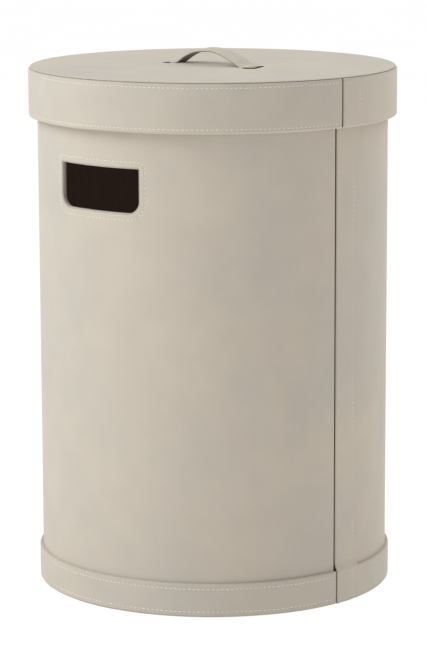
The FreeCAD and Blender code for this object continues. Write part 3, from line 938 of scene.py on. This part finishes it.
def make_lid_padding():
    """The foam on the lid board, squashed where the cover above it dips."""
    radius = outer_radius("lid_top_padding")
    foam_low, foam_high = low("lid_top_padding")[2], high("lid_top_padding")[2]
    flat, _ = slotted_disc(radius, (3, 1, 0.3, 0), (8, 6.4, 5, 3.8, 2.8, 2.0, 1.5))
    u, v, _ = flat.arrays()
    dip = np.maximum(slot_dip(u, v, SLOT_SAG), strap_bed(u, v))
    height = np.maximum(foam_high - foam_low - dip, 0.1 * MM)
    obj = shell("lid_padding_foam", flat, height, np.zeros(len(u)), flat_place(foam_low))
    dress(obj, FOAM, "padding", "lid", "lid_top_padding")


make_lid_padding()


def plain_disc(name, node, slot, body, material, radius, z_low, z_high, faces_up, wave):
    flat, _ = disc_pattern(radius, 0.45 * radius, 0.45 * radius, 9 * MM, (3, 1, 0.5, 0.15, 0))
    u, v, edge = flat.arrays()
    thick = z_high - z_low
    top = thick + soft_waves(len(name), wave, (1, 2), (10, 30))(u * 12, v * 12) * np.clip(edge / 0.02, 0, 1)
    top -= np.minimum(round_edge(edge, 0.5 * MM), 0.8 * thick)
    sign = 1 if faces_up else -1
    obj = shell(name, flat, sign * top, np.zeros(len(u)), flat_place(z_low if faces_up else z_high))
    dress(obj, material, slot, body, node)


plain_disc("base_lining_cloth", "base_lining", "dark_lining", "bin", LINING_FABRIC, LINING_IN_R, BASE_TOP,
           high("base_lining")[2], True, 0.4 * MM)
plain_disc("underside_cloth", "underside_cover", "underside_felt", "bin", FELT, TUBE_R, 0.0, COVER, False,
           0.0)
plain_disc("lid_underside_cloth", "lid_underside_lining", "dark_lining", "lid", LINING_FABRIC, RIM_LINING_R,
           LID_UNDERSIDE, LID_BOARD_BOTTOM, False, 0.25 * MM)


# ---- linings and top binding
lining_waves = soft_waves(17, 0.45 * MM, (2, 11), (4, 18))


def make_wall_lining():
    flat, hole = holed_tube(LINING_OUT_R, COVER_START, COVER_START + TAU, BASE_TOP, TUBE_TOP,
                            [r * MM for r in (8, 5, 3, 1.5, 0.6, 0.0)], 8 * MM, FOLD_ROUND)
    u, v, _ = flat.arrays()
    free = np.clip(np.minimum(hole, TUBE_TOP - v - 16 * MM) / 0.03, 0, 1)
    seam = (np.mod(u - STRIP_LEFT + 0.5, TAU) - 0.5) * LINING_OUT_R
    height = LINING + (lining_waves(u, v) + 0.45 * MM) * free + 0.5 * MM * hump(seam, 5 * MM)
    obj = shell("wall_lining_cloth", flat, height, np.zeros(len(u)),
                lambda u, v, h: on_cylinder(u, LINING_OUT_R - h, v))
    dress(obj, LINING_FABRIC, "dark_lining", "bin", "wall_lining")


make_wall_lining()


def make_rim_lining():
    profile = Profile([(RIM_INNER_R, RIM_TURN_TOP), (RIM_INNER_R, LID_BOARD_BOTTOM)], [])
    thick = RIM_INNER_R - RIM_LINING_R
    obj = wrapped("lid_rim_lining_cloth", profile, COVER_START, COVER_START + TAU, RIM_INNER_R,
                  lambda u, v: thick + 0.1 * MM * np.sin(u * 17) * np.sin(v * 90), on_surface, step=5 * MM)
    dress(obj, LINING_FABRIC, "dark_lining", "lid", "lid_rim_lining")


make_rim_lining()
binding_profile = Profile([(LINING_IN_R, BINDING_LOW), (LINING_IN_R, TUBE_TOP), (BODY_R, TUBE_TOP),
                           (BODY_R, BINDING_LOW)], [0.8 * MM, 0.8 * MM])


def make_top_binding():
    length = binding_profile.length
    row = length - 9 * MM

    def outer(u, v):
        h = EDGE_WRAP - round_edge(np.minimum(v, length - v), 0.6 * MM) + 0.08 * MM * np.sin(u * 23 + 40 * v)
        return np.maximum(h - furrow(v - row), 0.15 * MM)
    fine = [(row, 1.0 * MM), (0.3 * MM, 0.15 * MM), (length - 0.3 * MM, 0.15 * MM)]
    obj = wrapped("top_edge_wrap", binding_profile, COVER_START, COVER_START + TAU, BODY_R, outer, on_surface,
                  fine=fine)
    dress(obj, LEATHER, "cover_material", "bin", "top_edge_binding")
    row_round("top_edge_stitches", binding_profile, EDGE_WRAP, COVER_START, COVER_START + TAU, row, "bin", 41)


make_top_binding()


# ---- hand holes
def square_edge(count):
    """Points round the edge of a unit square, count to a side."""
    t = np.linspace(-1, 1, count + 1)[:-1]
    return ([(a, -1.0) for a in t] + [(1.0, a) for a in t] + [(-a, 1.0) for a in t] + [(-1.0, -a) for a in t])


def hole_point(centre, radius, x, z):
    angle = centre + math.asin(np.clip(x / radius, -1, 1))
    return (radius * math.cos(angle), radius * math.sin(angle), z)


HOLE_FLANGE = 7 * MM


def make_hole_binding(side, centre, seed):
    """The cover turned through the wall and out over the lining, all round one hand hole."""
    lip, back = BODY_R, LINING_IN_R
    section = [(0.0, lip - 1.0 * MM), (-0.2 * MM, lip - 0.55 * MM), (-0.5 * MM, lip - 0.4 * MM),
               (-0.8 * MM, lip - 0.55 * MM), (-EDGE_WRAP, lip - 1.0 * MM), (-EDGE_WRAP, (lip + back) / 2),
               (-EDGE_WRAP, back - 0.1 * MM), (-0.7 * MM, back - 0.8 * MM), (0.0, back - 1.2 * MM),
               (HOLE_FLANGE / 2, back - 1.25 * MM), (HOLE_FLANGE - 0.4 * MM, back - 1.2 * MM),
               (HOLE_FLANGE, back - 0.9 * MM), (HOLE_FLANGE - 0.2 * MM, back - 0.4 * MM),
               (0.2 * MM, back - 0.4 * MM), (0.0, back), (0.0, (lip + back) / 2)]
    square = square_edge(44)
    points = [hole_point(centre, radius, x, HOLE_Z + y) for grow, radius in section
              for x, y in hole_outline(square, grow)]
    obj = add_mesh(f"hand_hole_wrap_{side}", points, tube_faces(len(square), len(section), closed=True))
    dress(obj, LEATHER, "cover_material", "bin", f"hand_hole_binding_{side}")
    outline = hole_outline(square_edge(400), STITCH_FROM_HOLE)
    outline.append(outline[0])
    xs, zs = np.array(outline).T

    def place(x, z, h):
        r = BODY_R - 0.12 * MM + h
        return on_cylinder(centre + np.arcsin(x / r), r, HOLE_Z + z)
    stitch_row(f"hand_hole_stitches_{side}", spots_along(place, xs, zs), "bin", seed,
               pulled_in_beside_hole)


for side_name, hole_centre, side_seed in (("left", HOLE_CENTRES[0], 51), ("right", HOLE_CENTRES[1], 52)):
    make_hole_binding(side_name, hole_centre, side_seed)


# ---- strap
def smooth_curve(xs, ys, x):
    """A smooth line through a few points, flat where it turns."""
    xs, ys, x = np.array(xs), np.array(ys), np.asarray(x)
    steps = np.diff(ys) / np.diff(xs)
    slopes = np.concatenate([[steps[0]], (steps[1:] + steps[:-1]) / 2, [steps[-1]]])
    slopes[1:-1][steps[1:] * steps[:-1] <= 0] = 0
    k = np.clip(np.searchsorted(xs, x) - 1, 0, len(xs) - 2)
    width = xs[k + 1] - xs[k]
    t = np.clip((x - xs[k]) / width, 0, 1)
    return ((2 * t ** 3 - 3 * t ** 2 + 1) * ys[k] + (t ** 3 - 2 * t ** 2 + t) * width * slopes[k]
            + (3 * t ** 2 - 2 * t ** 3) * ys[k + 1] + (t ** 3 - t ** 2) * width * slopes[k + 1])


STRAP_ROLL = 0.8 * MM                # how far the strap's long edges are rolled
STRAP_LIFT = 0.4 * MM                # how far its flat ends stand off the lid
MOUTH = 1.0 * MM                     # how far before a slot's middle the strap bends down into it


def strap_path():
    """Rows of (y, z of the near edge, z of the far edge) from one tail's end to the other's."""
    crown = STRAP_TOP - LID_TOP
    spread = [-1.0, -0.86, -0.7, -0.5, -0.3, -0.1, 0.12, 0.36, 0.6, 0.78, 0.86, 1.0]
    near = [0.03, 0.06, 0.32, 0.59, 0.82, 0.94, 0.91, 0.78, 0.44, 0.09, 0.05, 0.03]
    far = [0.03, 0.08, 0.40, 0.66, 0.86, 0.98, 1.0, 0.88, 0.58, 0.24, 0.07, 0.03]
    share = np.linspace(-1, 1, 141)
    near_z, far_z = (LID_TOP + crown * smooth_curve(spread, rise, share) + STRAP_LIFT for rise in (near, far))
    arch = np.stack([share * (SLOT_OFFSET - MOUTH), near_z, far_z], 1)
    drop = np.linspace(0, 1, 12)[1:]
    tail_z = STRAP_LOW + STRAP_THICKNESS
    mouth_z = LID_TOP + 0.9 * MM
    dive_y = SLOT_OFFSET - MOUTH + STRAP_THICKNESS * np.sin(drop * math.pi / 2)
    dive_z = mouth_z - (mouth_z - tail_z) * drop ** 1.4
    tail_start = SLOT_OFFSET + STRAP_THICKNESS - MOUTH
    tail_y = tail_start + np.linspace(0.03, 1, 20) * (STRAP_TAIL_END - tail_start)
    end_z = np.concatenate([dive_z, np.full(len(tail_y), tail_z)])
    end = np.stack([np.concatenate([dive_y, tail_y]), end_z, end_z], 1)
    return np.concatenate([end[::-1] * (-1, 1, 1), arch, end])


def strap_section():
    """The strap's outline across, a little crowned, and how many of its points are on top."""
    def edge(side, start):
        return [(side * (STRAP_HALF - STRAP_ROLL) + STRAP_ROLL * math.sin(a),
                 STRAP_THICKNESS / 2 * (math.cos(a) - 1))
                for a in np.linspace(start, start + math.pi, 9)[1:-1]]
    top = [(x * (STRAP_HALF - STRAP_ROLL), 0.25 * MM * (1 - x ** 2) - 0.15 * MM * hump(abs(x) - 0.84, 0.05))
           for x in np.linspace(-1, 1, 15)]
    under = [(x, -STRAP_THICKNESS + 0.15 * y) for x, y in reversed(top)]
    return top + edge(1, 0) + under + edge(-1, math.pi), len(top)


def make_strap():
    path = strap_path()
    near_edge, far_edge = (np.stack([np.full(len(path), side * STRAP_HALF), path[:, 0], path[:, k]], 1)
                           for side, k in ((-1, 1), (1, 2)))
    middle = (near_edge + far_edge) / 2
    across = unit(far_edge - near_edge)
    up = unit(np.cross(across, unit(np.gradient(middle, axis=0))))
    section, on_top = strap_section()
    points = [m + a * x + n * y for m, a, n in zip(middle, across, up) for x, y in section]
    around, sides = len(section), len(section) * (len(path) - 1)
    faces = tube_faces(around, len(path))
    faces += [tuple(range(around)), tuple(reversed(range(sides, sides + around)))]
    obj = add_mesh("strap_leather", points, faces, 50)
    dress(obj, STRAP_LEATHER, "strap_material", "lid", "handle_strap")
    obj.data.materials.append(STRAP_UNDERSIDE_SHADE)
    obj.data.materials.append(RAW_EDGE_AND_SLOT_SHADE)
    # The underside faces take the darker copy of the strap leather, as painted shade.
    back = range(on_top + 5, 2 * on_top + 9)
    for k, face in enumerate(obj.data.polygons):
        x, y, z = face.center
        if k < sides and k % around in back:
            face.material_index = 1
        lip_y = math.copysign(SLOT_OFFSET, y) - SLOT_HALF_WIDTH
        lip = LID_TOP - float(slot_dip(np.array([x]), np.array([lip_y]), SLOT_SAG)[0])
        # Strap faces just under a slot's lip take the dark slot material: painted shadow where the strap
        # dives in.
        if abs(abs(y) - SLOT_OFFSET) < 5 * MM and z < lip + 1.2 * MM:
            face.material_index = 2


make_strap()


# ---- pieces kept from the CAD
KEPT = dict.fromkeys(("wall_core", "base_board", "base_band_core", "lid_top_board", "lid_rim_core"), BOARD)
KEPT.update(dict.fromkeys(("base_staples", "strap_staples"), STEEL))
for node_name, kept_material in KEPT.items():
    kept = bpy.data.objects[node_name]
    kept.data.materials.clear()
    kept.data.materials.append(kept_material)


# ---- floor, lights and camera
def make_floor():
    mesh = bpy.data.meshes.new("floor")
    reach = 40.0
    mesh.from_pydata([(-reach, -reach, -0.0002), (reach, -reach, -0.0002), (reach, reach, -0.0002),
                      (-reach, reach, -0.0002)], [], [(0, 1, 2, 3)])
    floor = bpy.data.objects.new("floor", mesh)
    bpy.context.scene.collection.objects.link(floor)
    n = Nodes("studio_floor")
    tone = n.noise(3.0, 2.0)
    n.set(Base_Color=n.mix(tone, (0.11, 0.11, 0.11, 1), (0.13, 0.13, 0.13, 1)), Roughness=0.9,
          Specular_IOR_Level=0.0, Emission_Color=(1, 1, 1, 1), Emission_Strength=0.94)
    mesh.materials.append(n.material)


VIEW_TURN = math.radians(-49.8)
VIEW_PITCH = math.radians(10.612)
VIEW_ROLL = math.radians(0.19)
VIEW_DISTANCE = 3.1517
VIEW_HEIGHT = 0.8585
VIEW_LENS = 158.45
right = Vector((math.cos(VIEW_TURN), math.sin(VIEW_TURN), 0))
ahead = Vector((-math.sin(VIEW_TURN), math.cos(VIEW_TURN), 0))
AIM = Vector((0, 0, 0.3))


def make_light(name, turn, rise, distance, size, power, colour):
    """A soft square light. turn is its angle round the object from the camera's side, to the right."""
    data = bpy.data.lights.new(name, "AREA")
    data.size = size
    data.energy = power
    data.color = colour
    light = bpy.data.objects.new(name, data)
    bpy.context.scene.collection.objects.link(light)
    a, e = math.radians(turn), math.radians(rise)
    flat = -ahead * math.cos(a) + right * math.sin(a)
    light.location = AIM + (flat * math.cos(e) + Vector((0, 0, math.sin(e)))) * distance
    light.rotation_euler = (light.location - AIM).to_track_quat("Z", "Y").to_euler()


def make_camera():
    data = bpy.data.cameras.new("camera")
    data.lens = VIEW_LENS
    camera = bpy.data.objects.new("camera", data)
    bpy.context.scene.collection.objects.link(camera)
    forward = ahead * math.cos(VIEW_PITCH) - Vector((0, 0, math.sin(VIEW_PITCH)))
    level_up = right.cross(forward)
    side = right * math.cos(VIEW_ROLL) - level_up * math.sin(VIEW_ROLL)
    top = side.cross(forward)
    turn = Matrix((side, top, -forward)).transposed().to_4x4()
    camera.matrix_world = Matrix.Translation(Vector((0, 0, VIEW_HEIGHT)) - ahead * VIEW_DISTANCE) @ turn
    bpy.context.scene.camera = camera


make_floor()
make_light("key", -76, 42, 3.0, 1.8, 56, (0.88, 0.945, 1.0))
make_light("right", 130, 40, 3.0, 2.0, 33, (0.93, 0.97, 1.0))
make_light("front", -50, 4, 4.0, 2.5, 6, (1.0, 0.99, 0.97))
world = bpy.data.worlds.new("studio")
world.use_nodes = True
world.node_tree.nodes["Background"].inputs["Color"].default_value = (1.0, 0.985, 0.955, 1)
world.node_tree.nodes["Background"].inputs["Strength"].default_value = 0.45
bpy.context.scene.world = world
bpy.context.scene.view_settings.view_transform = "Standard"
make_camera()
